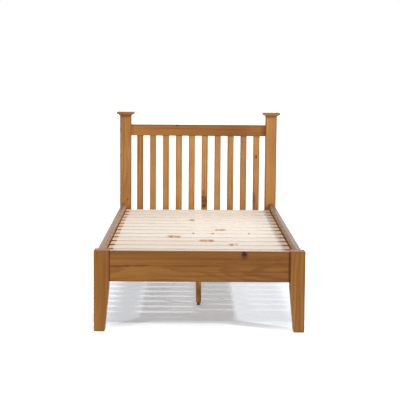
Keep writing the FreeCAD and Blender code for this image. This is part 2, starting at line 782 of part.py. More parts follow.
# Screws from the brackets into the side rails
bracket_screws = new_piece("bracket_screws", ("0", "mid_y", "bracket_base + bracket_hole_margin"))
screw_place = ("-rail_inner + bracket_sheet", "-clear_length / 2 + bracket_screw_reach", "0")
plate_screw = ("plate_screw_size", "plate_screw_length", "plate_screw_head_size", "plate_screw_head_height")
screw = flat_head_fastener(bracket_screws, "-X", *plate_screw, screw_place)
copies_of(bracket_screws, "All", screw, (("Z_Axis", "bracket_hole_span", 2),), all_corners)

# Screws from the hangers into the foot rail and the bottom rail of the headboard
hanger_screws = new_piece("hanger_screws", ("0", "centre_mid", "hanger_base + hanger_hole_margin"))
screw_place = ("-hanger_screw_x", "-centre_span / 2 + hanger_sheet", "0")
screw = flat_head_fastener(hanger_screws, "-Y", *plate_screw, screw_place)
copies_of(hanger_screws, "All", screw, (("Z_Axis", "hanger_hole_span", 2),), all_corners)

# Countersunk screws from the ledgers into the side rails
ledger_screws = new_piece("ledger_screws", ("0", "leg_back", "ledger_top - ledger_height / 2"))
screw_place = ("-rail_inner + ledger_width", "first_ledger_screw", "0")
screw = sunk_head_fastener(
    ledger_screws,
    "-X",
    "ledger_screw_size",
    "(ledger_width + ledger_screw_bite)",
    "ledger_screw_head",
    screw_place,
)
copies_of(ledger_screws, "All", screw, (("Y_Axis", ledger_row, LEDGER_SCREWS),), ("YZ_Plane",))

# Countersunk screws from the bed slats into the ledgers
slat_screws = new_piece("slat_screws", ("0", "leg_back", "ledger_top + slat_thick"))
screw_place = ("-slat_screw_x", "first_slat_screw", "0")
screw = sunk_head_fastener(
    slat_screws, "-Z", "slat_screw_size", "(slat_thick + slat_screw_bite)", "slat_screw_head", screw_place
)
copies_of(slat_screws, "All", screw, (("Y_Axis", slat_row, BED_SLATS),), ("YZ_Plane",))

# Dowels between the side rails and the legs or posts
dowels = new_piece("rail_dowels", ("0", "mid_y", "rail_bottom + dowel_low"))
dowel_place = ("-side_rail_centre", "-clear_length / 2 - dowel_length / 2", "0")
dowel = rod(dowels, "Additive", "Dowel", "+Y", "dowel_size", "dowel_length", dowel_place)
copies_of(dowels, "All", [dowel], (("Z_Axis", "dowel_high - dowel_low", 2),), all_corners)

# Dowels between the posts and their caps
cap_dowels = new_piece("cap_dowels", ("0", "head_y + post_size / 2", "post_height - cap_dowel_in_post"))
dowel_place = ("-half_width + post_size / 2", "0", "0")
cap_dowel_length = "cap_dowel_in_post + cap_dowel_in_cap"
dowel = rod(cap_dowels, "Additive", "Dowel", "+Z", "cap_dowel_size", cap_dowel_length, dowel_place)
copies_of(cap_dowels, "Both", [dowel], mirrors=("YZ_Plane",))

# Double-ended bolts between the centre rail and the support legs
leg_bolts = new_piece("leg_bolts", ("0", "mid_y", "centre_rail_base - leg_bolt_length / 2"))
bolt_place = ("0", "-support_leg_spacing / 2", "0")
bolt = rod(leg_bolts, "Additive", "Bolt", "+Z", "leg_bolt_size", "leg_bolt_length", bolt_place)
copies_of(leg_bolts, "Both", [bolt], mirrors=("XZ_Plane",))

doc.recompute()

# Every object has to be sound before any file is written
for thing in doc.Objects:
    if {"Invalid", "Error"} & set(thing.State):
        raise RuntimeError(f"{thing.Label} failed: {thing.State}")
for piece in pieces:
    if piece.Shape.isNull() or not piece.Shape.isValid():
        raise RuntimeError(f"{piece.Label} has no sound shape")

os.makedirs("parts", exist_ok=True)
for piece in pieces:
    piece.Shape.exportStep(f"parts/{piece.Label}.step")
    print(piece.Label, len(piece.Shape.Solids), round(piece.Shape.Volume))
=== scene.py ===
import math

import bpy
from mathutils import Matrix, Vector


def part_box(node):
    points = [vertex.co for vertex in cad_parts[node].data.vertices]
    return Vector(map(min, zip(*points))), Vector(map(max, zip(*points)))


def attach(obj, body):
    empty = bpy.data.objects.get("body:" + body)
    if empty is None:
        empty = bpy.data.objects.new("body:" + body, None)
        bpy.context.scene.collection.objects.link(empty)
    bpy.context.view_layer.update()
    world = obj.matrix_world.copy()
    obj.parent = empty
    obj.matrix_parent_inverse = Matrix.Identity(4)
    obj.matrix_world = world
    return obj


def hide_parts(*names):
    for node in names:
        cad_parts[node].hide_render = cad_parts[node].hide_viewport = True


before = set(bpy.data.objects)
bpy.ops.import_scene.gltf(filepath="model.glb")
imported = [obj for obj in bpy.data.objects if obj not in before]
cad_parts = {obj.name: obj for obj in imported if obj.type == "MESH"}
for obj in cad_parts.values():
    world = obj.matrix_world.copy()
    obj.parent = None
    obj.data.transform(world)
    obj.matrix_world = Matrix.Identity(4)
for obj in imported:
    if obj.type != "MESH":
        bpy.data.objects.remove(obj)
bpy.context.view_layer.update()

# Head posts: two square lengths of pine that stand on the floor, with eased corners.
# The headboard's rails are tenoned into them, and a honey stain under satin lacquer covers the wood.
ACROSS_BED, ALONG_BED, UPRIGHT = 0, 1, 2
THICK_STOCK_HALF = 0.02
RING_SWAY, RING_RIPPLE, RINGS_IN_A_KNOT, GRAIN_DEPTH = 0.05, 0.0035, 22.0, 0.00025
HONEY_STAIN = {
    "early": (0.392, 0.172, 0.034),
    "late": (0.200, 0.066, 0.009),
    "warm": (0.265, 0.095, 0.015),
    "edge": (0.26, 0.088, 0.012),
    "streak": (0.17, 0.050, 0.010),
    "halo": (0.265, 0.095, 0.015),
    "knot": (0.165, 0.044, 0.014),
    "bark": (0.030, 0.014, 0.008),
    "painted_shade_tone": (0.030, 0.014, 0.008),
    "painted_shade_share": 0.7,
    "knot_fill": (0.45, 0.90),
    "knot_rim": 0.55,
    "roughness": 0.43,
    "gloss": 0.25,
    "sheen": 0.10,
}
PALE_HONEY_STAIN = {
    **HONEY_STAIN,
    "early": (0.500, 0.246, 0.069),
    "late": (0.275, 0.107, 0.021),
    "warm": (0.365, 0.148, 0.032),
    "halo": (0.365, 0.148, 0.032),
    "knot": (0.140, 0.033, 0.010),
    "knot_fill": (0.60, 1.0),
}


class Nodes:
    """A tree of shader nodes, with short ways to add those that these finishes need."""

    def __init__(self, tree):
        self.tree = tree

    def join(self, value, socket):
        if isinstance(value, bpy.types.NodeSocket):
            self.tree.links.new(value, socket)
        else:
            socket.default_value = value

    def add(self, kind, inputs=None, out=0, **settings):
        node = self.tree.nodes.new("ShaderNode" + kind)
        for name, value in settings.items():
            setattr(node, name, value)
        for socket, value in (inputs or {}).items():
            self.join(value, node.inputs[socket])
        return node.outputs[out]

    def work_out(self, operation, *values):
        return self.add("Math", dict(enumerate(values)), operation=operation)

    def shift(self, operation, *values, out=0):
        return self.add("VectorMath", dict(enumerate(values)), out=out, operation=operation)

    def ramp(self, value, low, high, start=0.0, end=1.0):
        """A smooth climb from start to end while value goes from low to high."""
        inputs = {0: value, 1: low, 2: high, 3: start, 4: end}
        return self.add("MapRange", inputs, interpolation_type="SMOOTHSTEP")

    def layer(self, share, under, over):
        under, over = ((*tone, 1.0) if isinstance(tone, tuple) else tone for tone in (under, over))
        return self.add("Mix", {0: share, 6: under, 7: over}, out=2, data_type="RGBA")

    def noise(self, place, detail=2.0):
        return self.add("TexNoise", {"Vector": place, "Scale": 1.0, "Detail": detail})


class Finish(Nodes):
    """A material in the making, with its shader and the place of each point on the piece."""

    def __init__(self, label):
        self.material = bpy.data.materials.new(label)
        self.material.use_nodes = True
        super().__init__(self.material.node_tree)
        self.shader = self.tree.nodes["Principled BSDF"]
        self.place = self.add("TexCoord", out="Object")

    def dress(self, colour, roughness, height, depth):
        """Join colour, roughness and a relief of the given depth in metres to the shader."""
        self.join(colour, self.shader.inputs["Base Color"])
        self.join(roughness, self.shader.inputs["Roughness"])
        relief = self.add("Bump", {"Height": height, "Distance": depth})
        self.join(relief, self.shader.inputs["Normal"])


def coat(name, material):
    """Put a finish on a CAD node."""
    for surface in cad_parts[name].material_slots:
        surface.material = material


def axis_values(along, lengthwise, across):
    return tuple(lengthwise if axis == along else across for axis in range(3))


def pine(
    name,
    along,
    heart,
    stain,
    ring=0.0042,
    shade=(1.0, 1.0),
    knots=(),
    streaks=(),
    seam=None,
    shade_bands=(),
    faces=None,
    seed=0,
):
    """Give a board its pine: growth rings round a heart that lies off the board's middle, and knots.

    along is the axis of the grain, heart is that offset in metres, ring is the width of a year's growth,
    and shade is how deep the stain is at even steps from end to end, which on some pieces also carries
    painted light or shade. Knots are (place, radius, stretch along the grain, darkness of the middle), and
    streaks lack the last. seam is the height of a glue line, below which the wood is another board's.
    Each band of painted shade, (axis, place, reach), darkens the wood towards a plane.
    faces, (axis, tone, share), is another tone on the faces across an axis."""
    low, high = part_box(name)
    middle, half = (low + high) / 2, (high - low) / 2
    through = min((1, 0, 2), key=lambda axis: round(half[axis], 3))
    wood = Finish(f"{name}_pine")
    place = wood.shift("ADD", wood.place, tuple(0.37 * seed + part for part in (0.0, 0.11, 0.23)))
    if seam is not None:
        height = wood.add("SeparateXYZ", {0: wood.place}, out="Z")
        lower = wood.work_out("LESS_THAN", height, seam)
        jump = wood.shift("SCALE", (0.9, 0.4, 0.035))
        wood.join(lower, jump.node.inputs["Scale"])
        place = wood.shift("ADD", place, jump)

    # The rings: distance from the heart, swayed and rippled along the grain, pushed aside by knots
    def stretched(lengthwise, across, detail=2.0):
        return wood.noise(wood.shift("MULTIPLY", place, axis_values(along, lengthwise, across)), detail)

    heart_place = middle + Vector(heart)
    from_heart = wood.shift("SUBTRACT", wood.place, tuple(heart_place))
    if seam is not None:
        from_heart = wood.shift("ADD", from_heart, jump)
    from_heart = wood.shift("MULTIPLY", from_heart, axis_values(along, 0.008, 1.0))
    radius = wood.shift("LENGTH", from_heart, out="Value")
    sway = stretched(0.9, 6.0)
    ripple = stretched(5.0, 60.0)
    growth = wood.work_out("MULTIPLY_ADD", sway, RING_SWAY, radius)
    growth = wood.work_out("MULTIPLY_ADD", ripple, RING_RIPPLE, growth)

    def spread_from(spots, wander):
        """Distance from the nearest of the spots as a share of its radius, made uneven by a noise."""
        nearest = None
        for spot, size, stretch, *_ in spots:
            weights = [1 / size] * 3
            weights[along] = 1 / (size * stretch)
            weights[through] = 0.0 if half[through] < THICK_STOCK_HALF else 0.3 / size
            away = wood.shift("SUBTRACT", wood.place, spot)
            away = wood.shift("LENGTH", wood.shift("MULTIPLY", away, tuple(weights)), out="Value")
            nearest = away if nearest is None else wood.work_out("MINIMUM", nearest, away)
        return wood.work_out("MULTIPLY_ADD", wood.work_out("SUBTRACT", wander, 0.5), 0.6, nearest)

    lumps = wood.noise(wood.shift("MULTIPLY", place, (95.0, 95.0, 95.0)), 3.0)
    from_knots = [spread_from([knot], lumps) for knot in knots]
    for from_knot, (_, size, *_) in zip(from_knots, knots):
        growth = wood.work_out("MULTIPLY_ADD", wood.ramp(from_knot, 0.6, 2.8, 1.0, 0.0), size * 1.4, growth)
    age = wood.work_out("DIVIDE", growth, ring)
    part = wood.work_out("FRACT", age)
    late = wood.work_out("MULTIPLY", wood.ramp(part, 0.25, 0.88), wood.ramp(part, 0.93, 1.0, 1.0, 0.0))
    year = wood.add("TexWhiteNoise", {"W": wood.work_out("FLOOR", age)}, noise_dimensions="1D")
    late = wood.work_out("MULTIPLY", late, wood.ramp(year, 0.0, 1.0, 0.25, 0.95))

    # The colours: rings, broad warm patches, fibres, rubbed edges, streaks, and knots with a bark ring
    fibre = stretched(9.0, 420.0, 3.0)
    vein = stretched(1.5, 75.0, 4.0)
    patch = stretched(0.7, 5.0, 3.0)
    tone = wood.layer(wood.work_out("MULTIPLY", late, 0.8), stain["early"], stain["late"])
    tone = wood.layer(wood.ramp(patch, 0.40, 0.72, 0.0, 0.75), tone, stain["warm"])
    tone = wood.layer(wood.ramp(vein, 0.46, 0.68, 0.0, 0.70), tone, stain["late"])
    tone = wood.layer(wood.ramp(fibre, 0.45, 0.75, 0.0, 0.35), tone, stain["late"])
    lengthwise = wood.add("SeparateXYZ", {0: wood.place}, out=along)
    # Another tone on the faces across an axis: a painted shade and reflection on the side rails' tops, and a
    # warmer tan, partly painted light, on the slats' front and back faces
    if faces is not None:
        axis, face_tone, share = faces
        level = wood.add("SeparateXYZ", {0: wood.add("NewGeometry", out="Normal")}, out=axis)
        tone = wood.layer(wood.ramp(wood.work_out("ABSOLUTE", level), 0.5, 0.9, 0.0, share), tone, face_tone)
    inset = wood.shift("ABSOLUTE", wood.shift("SUBTRACT", wood.place, tuple(middle)))
    inset = wood.shift("SUBTRACT", tuple(half), inset)
    depths = [wood.add("SeparateXYZ", {0: inset}, out=axis) for axis in range(3)]
    corner = wood.work_out("ADD", depths[0], depths[1])
    for first, second in ((1, 2), (2, 0)):
        corner = wood.work_out("MINIMUM", corner, wood.work_out("ADD", depths[first], depths[second]))
    worn = wood.work_out("MULTIPLY", wood.ramp(corner, 0.0015, 0.007, 1.0, 0.0), wood.ramp(sway, 0.3, 0.6))
    tone = wood.layer(worn, tone, stain["edge"])
    if streaks:
        tone = wood.layer(wood.ramp(spread_from(streaks, ripple), 0.2, 1.2, 0.85, 0.0), tone, stain["streak"])
    if seam is not None:
        glue_line = wood.work_out("ABSOLUTE", wood.work_out("SUBTRACT", height, seam))
        tone = wood.layer(wood.ramp(glue_line, 0.0002, 0.0010, 0.45, 0.0), tone, stain["streak"])
    rim_tone = wood.layer(0.5, stain["knot"], stain["bark"])
    for from_knot, (*_, dark) in zip(from_knots, knots):
        rings = wood.work_out("SINE", wood.work_out("MULTIPLY", from_knot, RINGS_IN_A_KNOT))
        fill = wood.ramp(rings, -1.0, 1.0, *stain["knot_fill"])
        middle_tone = wood.layer(fill, stain["halo"], stain["knot"])
        middle_tone = wood.layer(dark, middle_tone, stain["bark"])
        middle_tone = wood.layer(wood.ramp(from_knot, 0.10, 0.35, 0.5, 0.0), middle_tone, stain["bark"])
        tone = wood.layer(wood.ramp(from_knot, 0.9, 2.2, 0.8, 0.0), tone, stain["halo"])
        tone = wood.layer(wood.ramp(from_knot, 0.80, 1.15, 1.0, 0.0), tone, middle_tone)
        rim = wood.work_out("ABSOLUTE", wood.work_out("SUBTRACT", from_knot, 0.88))
        tone = wood.layer(wood.ramp(rim, 0.08, 0.34, stain["knot_rim"], 0.0), tone, rim_tone)
    # Painted shade: bands that darken the wood towards a plane, beside joints and along rails
    for axis, line, reach in shade_bands:
        from_line = wood.work_out("SUBTRACT", wood.add("SeparateXYZ", {0: wood.place}, out=axis), line)
        from_line = wood.work_out("ABSOLUTE", from_line)
        painted_shade = wood.ramp(from_line, 0.25 * reach, reach, stain["painted_shade_share"], 0.0)
        tone = wood.layer(painted_shade, tone, stain["painted_shade_tone"])
    # The stain's depth from end to end, deeper being redder; on some pieces it also carries painted light or
    # shade
    depth = shade[0]
    step = (high[along] - low[along]) / (len(shade) - 1)
    for number, (before, after) in enumerate(zip(shade, shade[1:])):
        start = low[along] + number * step
        depth = wood.work_out("ADD", wood.ramp(lengthwise, start, start + step, 0.0, after - before), depth)
    deepened = {0: depth, 1: wood.work_out("POWER", depth, 1.3), 2: wood.work_out("POWER", depth, 1.5)}
    tint = wood.add("CombineColor", deepened)
    tone = wood.add("Mix", {0: 1.0, 6: tone, 7: tint}, out=2, data_type="RGBA", blend_type="MULTIPLY")
    relief = wood.work_out("MULTIPLY_ADD", fibre, 0.6, late)
    wood.shader.inputs["Specular IOR Level"].default_value = stain["gloss"]
    wood.shader.inputs["Sheen Weight"].default_value = stain["sheen"]
    wood.shader.inputs["Sheen Roughness"].default_value = 0.35
    rough = stain["roughness"]
    wood.dress(tone, wood.ramp(fibre, 0.2, 0.8, rough - 0.07, rough + 0.09), relief, GRAIN_DEPTH)
    coat(name, wood.material)


def uneven(shade, seed, steps=9, swing=0.035):
    """How deep the stain is along a board that took it unevenly, a few percent either way."""
    waves = [math.sin(2.1 * step + 3.7 * seed) + math.sin(4.7 * step + 1.3 * seed) for step in range(steps)]
    return [shade * (1.0 + swing * wave) for wave in waves]


for side, name in ((-1, "head_post_left"), (1, "head_post_right")):
    post_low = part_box(name)[0]
    marks = ()
    if side < 0:
        edge_x = post_low.x + 0.002
        marks = (
            ((edge_x, post_low.y, 0.841), 0.0045, 3.0, 0.6),
            ((edge_x, post_low.y, 0.683), 0.0045, 3.5, 0.6),
            ((edge_x + 0.047, post_low.y, 0.401), 0.003, 1.5, 0.6),
        )
    # The right post is painted lighter and the left darker, painted light for the light falling more on the
    # right of the headboard
    tone = 1.0 + 0.05 * side
    heart = (-0.02 * side, 0.075, 0.0)
    pine(name, UPRIGHT, heart, PALE_HONEY_STAIN, shade=uneven(tone, side), knots=marks, seed=3 + side)

# Headboard rails: two straight boards between the posts, with stub tenons glued into mortises.
# Their long edges are eased, and the lower one is hidden behind the end of the slatted base.
SATIN_STAIN = {**PALE_HONEY_STAIN, "gloss": 0.12}
rail_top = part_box("headboard_top_rail")[1].z
top_knot = ((-0.135, 0.0, rail_top - 0.002), 0.006, 1.5, 0.8)
pine(
    "headboard_top_rail",
    ACROSS_BED,
    (0.0, 0.03, -0.11),
    SATIN_STAIN,
    shade=(0.95, 0.77, 0.65, 0.535, 0.72),
    knots=(top_knot,),
    seed=5,
)
pine("headboard_bottom_rail", ACROSS_BED, (0.0, 0.05, 0.04), HONEY_STAIN, seed=6)

# Headboard slats: upright strips of pine, housed at both ends in the rails.
# Each is cut from another plank, so that its rings, its tone and its knots are its own.
PALE, MIDDLE, DEEP = 1.10, 0.98, 0.90
slat_shades = (DEEP, MIDDLE, PALE, PALE, PALE, MIDDLE, MIDDLE, DEEP, MIDDLE, PALE)
slat_knots = {
    6: (
        ((0.036, 0.0, 0.388), 0.018, 2.0, 0.15),
        ((0.0275, 0.0, 0.414), 0.007, 1.3, 0.5),
        ((0.038, 0.0, 0.364), 0.012, 1.0, 0.40),
    ),
    10: (((0.3655, 0.0, 0.675), 0.005, 2.2, 0.5),),
}
slat_streaks = {6: (((0.036, 0.0, 0.43), 0.018, 2.0),), 10: (((0.355, 0.0, 0.400), 0.014, 4.2),)}
for number, shade in enumerate(slat_shades, start=1):
    lean = 0.05 * math.sin(2.4 * number)
    pine(
        f"headboard_slat_{number:02d}",
        UPRIGHT,
        (lean, 0.03 + 0.02 * math.cos(number), 0.0),
        PALE_HONEY_STAIN,
        shade=uneven(shade, number),
        knots=slat_knots.get(number, ()),
        streaks=slat_streaks.get(number, ()),
        seed=10 + number,
    )

# Cap dowels: short beech pins, glued half in the top of each post and half in its cap.
# They are bare wood, paler and redder than the pine.
BEECH = {
    "early": (0.60, 0.40, 0.25),
    "late": (0.46, 0.27, 0.15),
    "warm": (0.52, 0.31, 0.18),
    "edge": (0.55, 0.35, 0.21),
    "streak": (0.35, 0.19, 0.10),
    "halo": (0.52, 0.31, 0.18),
    "knot": (0.30, 0.15, 0.08),
    "bark": (0.15, 0.07, 0.04),
    "knot_fill": (0.3, 0.7),
    "knot_rim": 0.4,
    "roughness": 0.55,
    "gloss": 0.25,
    "sheen": 0.2,
}
pine("cap_dowels", UPRIGHT, (0.004, 0.03, 0.0), BEECH, ring=0.0016, seed=22)

# Post caps: square blocks with a flared underside, dowelled and glued on top of the posts.
# The grain runs across the bed, and the upper edges are rounded over.
for side, name in ((-1, "post_cap_left"), (1, "post_cap_right")):
    pine(name, ACROSS_BED, (0.0, 0.03 * side, -0.06), PALE_HONEY_STAIN, shade=(0.93, 0.93), seed=24 + side)

# Foot legs: square at the top and tapered on the inside below the rail, with eased corners.
# They are cut from thick planks and stand at the foot end's corners.
FAINT_RINGS = {**HONEY_STAIN, "late": (0.228, 0.080, 0.012)}
for side, name in ((-1, "foot_leg_left"), (1, "foot_leg_right")):
    # Each leg is painted lighter towards its foot, painted light thrown up from the floor; the right leg is a
    # little darker than the left
    tone = 1.0 - 0.025 * side
    heart = (0.03 * side, 0.085, 0.0)
    pine(name, UPRIGHT, heart, FAINT_RINGS, shade=(1.07 * tone, 0.97 * tone), seed=28 + side)

# Foot rail: one broad panel of two glued boards with faint rings, tenoned into the legs.
# It is set back from their faces. A knot lies near its top edge, and a resin streak runs along
# the glue line at its left end.
GLUE_LINE_HEIGHT = 0.309
foot_knots = (((0.208, 0.0, 0.360), 0.0150, 0.85, 0.55), ((0.208, 0.0, 0.3685), 0.0115, 1.0, 1.0))
resin = (
    ((-0.3392, 0.0, 0.3104), 0.007, 3.5),
    ((-0.385, 0.0, 0.308), 0.006, 9.0),
    ((-0.27, 0.0, 0.312), 0.005, 12.0),
    ((-0.05, 0.0, 0.3115), 0.003, 60.0),
)
# Beside each leg the rail is painted darker, a painted shade for the shadow where the rail is set back
# between the legs
leg_faces = (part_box("foot_leg_left")[1].x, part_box("foot_leg_right")[0].x)
shaded_leg_joints = [(ACROSS_BED, face, 0.008) for face in leg_faces]
pine(
    "foot_rail",
    ACROSS_BED,
    (0.0, 0.045, 0.02),
    FAINT_RINGS,
    shade=(0.95, 0.83),
    knots=foot_knots,
    streaks=resin,
    seam=GLUE_LINE_HEIGHT,
    shade_bands=shaded_leg_joints,
    seed=31,
)

# Rail dowels: beech pins in the ends of the side rails, two to an end.
# They locate the rails in the legs and posts, and the brackets do the pulling.
pine("rail_dowels", ALONG_BED, (0.02, 0.0, 0.015), BEECH, ring=0.0016, seed=33)

# Side rails: long boards between legs and posts, dowelled at the ends and drawn up by steel brackets.
# They stand higher than the slats, so that the mattress sits between them.
# Their lacquer is a little smoother, and their tops get a darker, greyer tone, a painted shade and reflection
# on the top faces.
POLISHED_STAIN = {**SATIN_STAIN, "roughness": 0.26, "gloss": 0.16}
PAINTED_TOP_SHADE = (0.100, 0.050, 0.031)
for side, name in ((-1, "side_rail_left"), (1, "side_rail_right")):
    heart = (0.05 * side, 0.0, 0.02)
    pine(name, ALONG_BED, heart, POLISHED_STAIN, faces=(UPRIGHT, PAINTED_TOP_SHADE, 0.75), seed=34 + side)

# Corner brackets: angles of bent steel sheet inside the four corners.
# Each is bolted to its leg or post and screwed to the rail.
# They are zinc plated, with a cloudy spangle and fine rubbing marks.
BRACKET_SHEET = 0.0025
ZINC_BRIGHT, ZINC_DULL, ZINC_BLOOM = (0.62, 0.64, 0.66), (0.46, 0.48, 0.50), (0.70, 0.70, 0.69)


def zinc_plate(label):
    steel = Finish(label)
    steel.shader.inputs["Metallic"].default_value = 1.0
    spangle = steel.add("TexVoronoi", {"Vector": steel.place, "Scale": 220.0}, out="Color")
    crystal = steel.add("SeparateColor", {0: spangle})
    cloud = steel.noise(steel.shift("MULTIPLY", steel.place, (85.0, 85.0, 85.0)), 4.0)
    rubbing = steel.noise(steel.shift("MULTIPLY", steel.place, (900.0, 900.0, 140.0)), 2.0)
    tone = steel.layer(steel.ramp(crystal, 0.0, 1.0, 0.1, 0.7), ZINC_BRIGHT, ZINC_DULL)
    tone = steel.layer(steel.ramp(cloud, 0.45, 0.75, 0.0, 0.6), tone, ZINC_BLOOM)
    steel.dress(tone, steel.ramp(rubbing, 0.2, 0.8, 0.26, 0.46), rubbing, 0.00003)
    return steel.material


zinc_sheet = zinc_plate("zinc_sheet")
for corner in ("foot_left", "head_left", "foot_right", "head_right"):
    coat(f"corner_bracket_{corner}", zinc_sheet)

# Bracket bolts: steel bolts with a flat round head and a hexagon socket, four at each end of the bed.
# They are turned blanks with a rolled thread, and hold the brackets to the legs and posts.
SMOOTH_UP_TO = math.radians(35.0)
zinc_fixing = zinc_plate("zinc_fixing")


def turned(label, steps, sides=24, ring=False):
    """Turn a blank on the Z axis: the disc of the first step is drawn out through the rest.

    A step is (radius, height). A ring starts from a circle with no disc, and ends where it started."""
    bpy.ops.object.select_all(action="DESELECT")
    radius, height = steps[0]
    fill = "NOTHING" if ring else "NGON"
    start = (0.0, 0.0, height)
    bpy.ops.mesh.primitive_circle_add(vertices=sides, radius=radius, fill_type=fill, location=start)
    blank = bpy.context.object
    blank.name = label
    bpy.ops.object.transform_apply(location=True)
    bpy.ops.object.mode_set(mode="EDIT")
    bpy.ops.mesh.select_mode(type="VERT")
    bpy.ops.mesh.select_all(action="SELECT")
    for next_radius, next_height in steps[1:]:
        bpy.ops.mesh.extrude_region_move(TRANSFORM_OT_translate={"value": (0.0, 0.0, next_height - height)})
        widen = next_radius / radius
        bpy.ops.transform.resize(value=(widen, widen, 1.0), center_override=(0.0, 0.0, next_height))
        radius, height = next_radius, next_height
    bpy.ops.mesh.select_all(action="SELECT")
    bpy.ops.mesh.remove_doubles(threshold=1e-6)
    bpy.ops.mesh.normals_make_consistent(inside=False)
    bpy.ops.object.mode_set(mode="OBJECT")
    return blank


def cut(blank, tool):
    """Cut a tool's shape out of a blank, and put the tool away."""
    bpy.ops.object.select_all(action="DESELECT")
    bpy.context.view_layer.objects.active = blank
    recess = blank.modifiers.new("recess", "BOOLEAN")
    recess.operation = "DIFFERENCE"
    recess.object = tool
    bpy.ops.object.modifier_apply(modifier=recess.name)
    bpy.data.objects.remove(tool)


def roll_thread(blank, root, crest, pitch, low, high, steps):
    """Lay a thread on a shank: a ridge with sides at 60 degrees, wound up from low to high."""
    ridge = (crest - root) / 1.5 + 0.0001
    bpy.ops.object.select_all(action="DESELECT")
    bpy.ops.mesh.primitive_circle_add(
        vertices=3,
        radius=ridge,
        location=(crest - ridge, 0.0, low + ridge),
        rotation=(math.pi / 2, math.pi / 2, 0.0),
    )
    thread = bpy.context.object
    bpy.ops.object.transform_apply(location=True, rotation=True)
    winding = thread.modifiers.new("winding", "SCREW")
    winding.axis = "Z"
    winding.screw_offset = pitch
    winding.iterations = int((high - low - 2 * ridge) / pitch)
    winding.steps = winding.render_steps = steps
    bpy.ops.object.modifier_apply(modifier=winding.name)
    bpy.ops.object.mode_set(mode="EDIT")
    bpy.ops.mesh.select_all(action="SELECT")
    bpy.ops.mesh.fill_holes(sides=3)
    bpy.ops.mesh.select_all(action="SELECT")
    bpy.ops.mesh.normals_make_consistent(inside=False)
    bpy.ops.object.mode_set(mode="OBJECT")
    blank.select_set(True)
    bpy.context.view_layer.objects.active = blank
    bpy.ops.object.join()


def set_out(blank, label, node, places, finish, body="frame"):
    """Copy a blank to each place, join the copies as one piece that stands for a CAD node, and finish it."""
    copies = []
    for place in places:
        bpy.ops.object.select_all(action="DESELECT")
        blank.select_set(True)
        bpy.context.view_layer.objects.active = blank
        bpy.ops.object.duplicate(linked=False)
        copy = bpy.context.object
        copy.data.transform(place)
        copies.append(copy)
    bpy.ops.object.select_all(action="DESELECT")
    for copy in copies:
        copy.select_set(True)
    piece = copies[0]
    bpy.context.view_layer.objects.active = piece
    if len(copies) > 1:
        bpy.ops.object.join()
    bpy.ops.object.shade_smooth_by_angle(angle=SMOOTH_UP_TO)
    piece.name = label
    piece.data.materials.clear()
    piece.data.materials.append(finish)
    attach(piece, body)
    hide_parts(node)


def facing(place, out, spin):
    """The place of a fixing whose head faces out, turned on its axis by spin."""
    turn = Vector(out).to_track_quat("Z", "Y").to_matrix().to_4x4()
    return Matrix.Translation(place) @ turn @ Matrix.Rotation(spin, 4, "Z")


BOLT_HEAD, BOLT_HEAD_HEIGHT, BOLT_SHANK, BOLT_LENGTH = 0.006, 0.004, 0.003, 0.025
BOLT_CORE, BOLT_TIP, BOLT_PITCH = 0.85 * BOLT_SHANK, 0.65 * BOLT_SHANK, 0.001
SOCKET_FLAT, SOCKET_DEPTH = 0.002, 0.0024
BOLT_X, BOLT_LEVELS = 0.4385, (0.252, 0.278)
bolt_steps = [
    (BOLT_HEAD - 0.0008, BOLT_HEAD_HEIGHT),
    (BOLT_HEAD - 0.0002, BOLT_HEAD_HEIGHT - 0.0004),
    (BOLT_HEAD, BOLT_HEAD_HEIGHT - 0.001),
    (BOLT_HEAD, 0.0003),
    (BOLT_HEAD - 0.0003, 0.0),
    (BOLT_CORE, 0.0),
    (BOLT_CORE, 0.0008 - BOLT_LENGTH),
    (BOLT_TIP, -BOLT_LENGTH),
]
bolt = turned("bolt_blank", bolt_steps, 32)
bpy.ops.object.select_all(action="DESELECT")
bpy.ops.mesh.primitive_cylinder_add(
    vertices=6,
    radius=SOCKET_FLAT / math.cos(math.pi / 6),
    depth=2 * SOCKET_DEPTH,
    location=(0.0, 0.0, BOLT_HEAD_HEIGHT),
)
bpy.ops.object.transform_apply(location=True)
cut(bolt, bpy.context.object)
roll_thread(bolt, BOLT_CORE, BOLT_SHANK, BOLT_PITCH, -BOLT_LENGTH + 0.001, -0.003, 10)
bolt_places = []
for end, out in (("foot", 1.0), ("head", -1.0)):
    bracket_low, bracket_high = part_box(f"corner_bracket_{end}_left")
    sheet_face = bracket_low.y + BRACKET_SHEET if out > 0 else bracket_high.y - BRACKET_SHEET
    for side in (-1, 1):
        for level in BOLT_LEVELS:
            spin = 1.7 * level * 1000 + side
            bolt_places.append(facing((side * BOLT_X, sheet_face, level), (0.0, out, 0.0), spin))
set_out(bolt, "socket_bolts", "bracket_bolts", bolt_places, zinc_fixing)
bpy.data.objects.remove(bolt)

# Bracket screws: pan-headed wood screws with a cross recess, which hold the brackets to the side rails.
# They are rolled steel, zinc plated like the brackets.
PAN_HEAD, PAN_HEIGHT, PAN_SIZE, PAN_LENGTH, PAN_PITCH = 0.004, 0.0025, 0.004, 0.016, 0.0017
PAN_CORE, PAN_RECESS, PAN_RECESS_DEPTH = 0.36 * PAN_SIZE, 0.0046, 0.0016
SCREW_REACH = 0.026


def pick_faces(blank, wanted):
    """Select the faces of a blank whose middle and normal are wanted, and stay in edit mode."""
    bpy.context.view_layer.objects.active = blank
    bpy.ops.object.mode_set(mode="EDIT")
    bpy.ops.mesh.select_mode(type="FACE")
    bpy.ops.mesh.select_all(action="DESELECT")
    bpy.ops.object.mode_set(mode="OBJECT")
    for face in blank.data.polygons:
        face.select = wanted(face.center, face.normal)
    bpy.ops.object.mode_set(mode="EDIT")


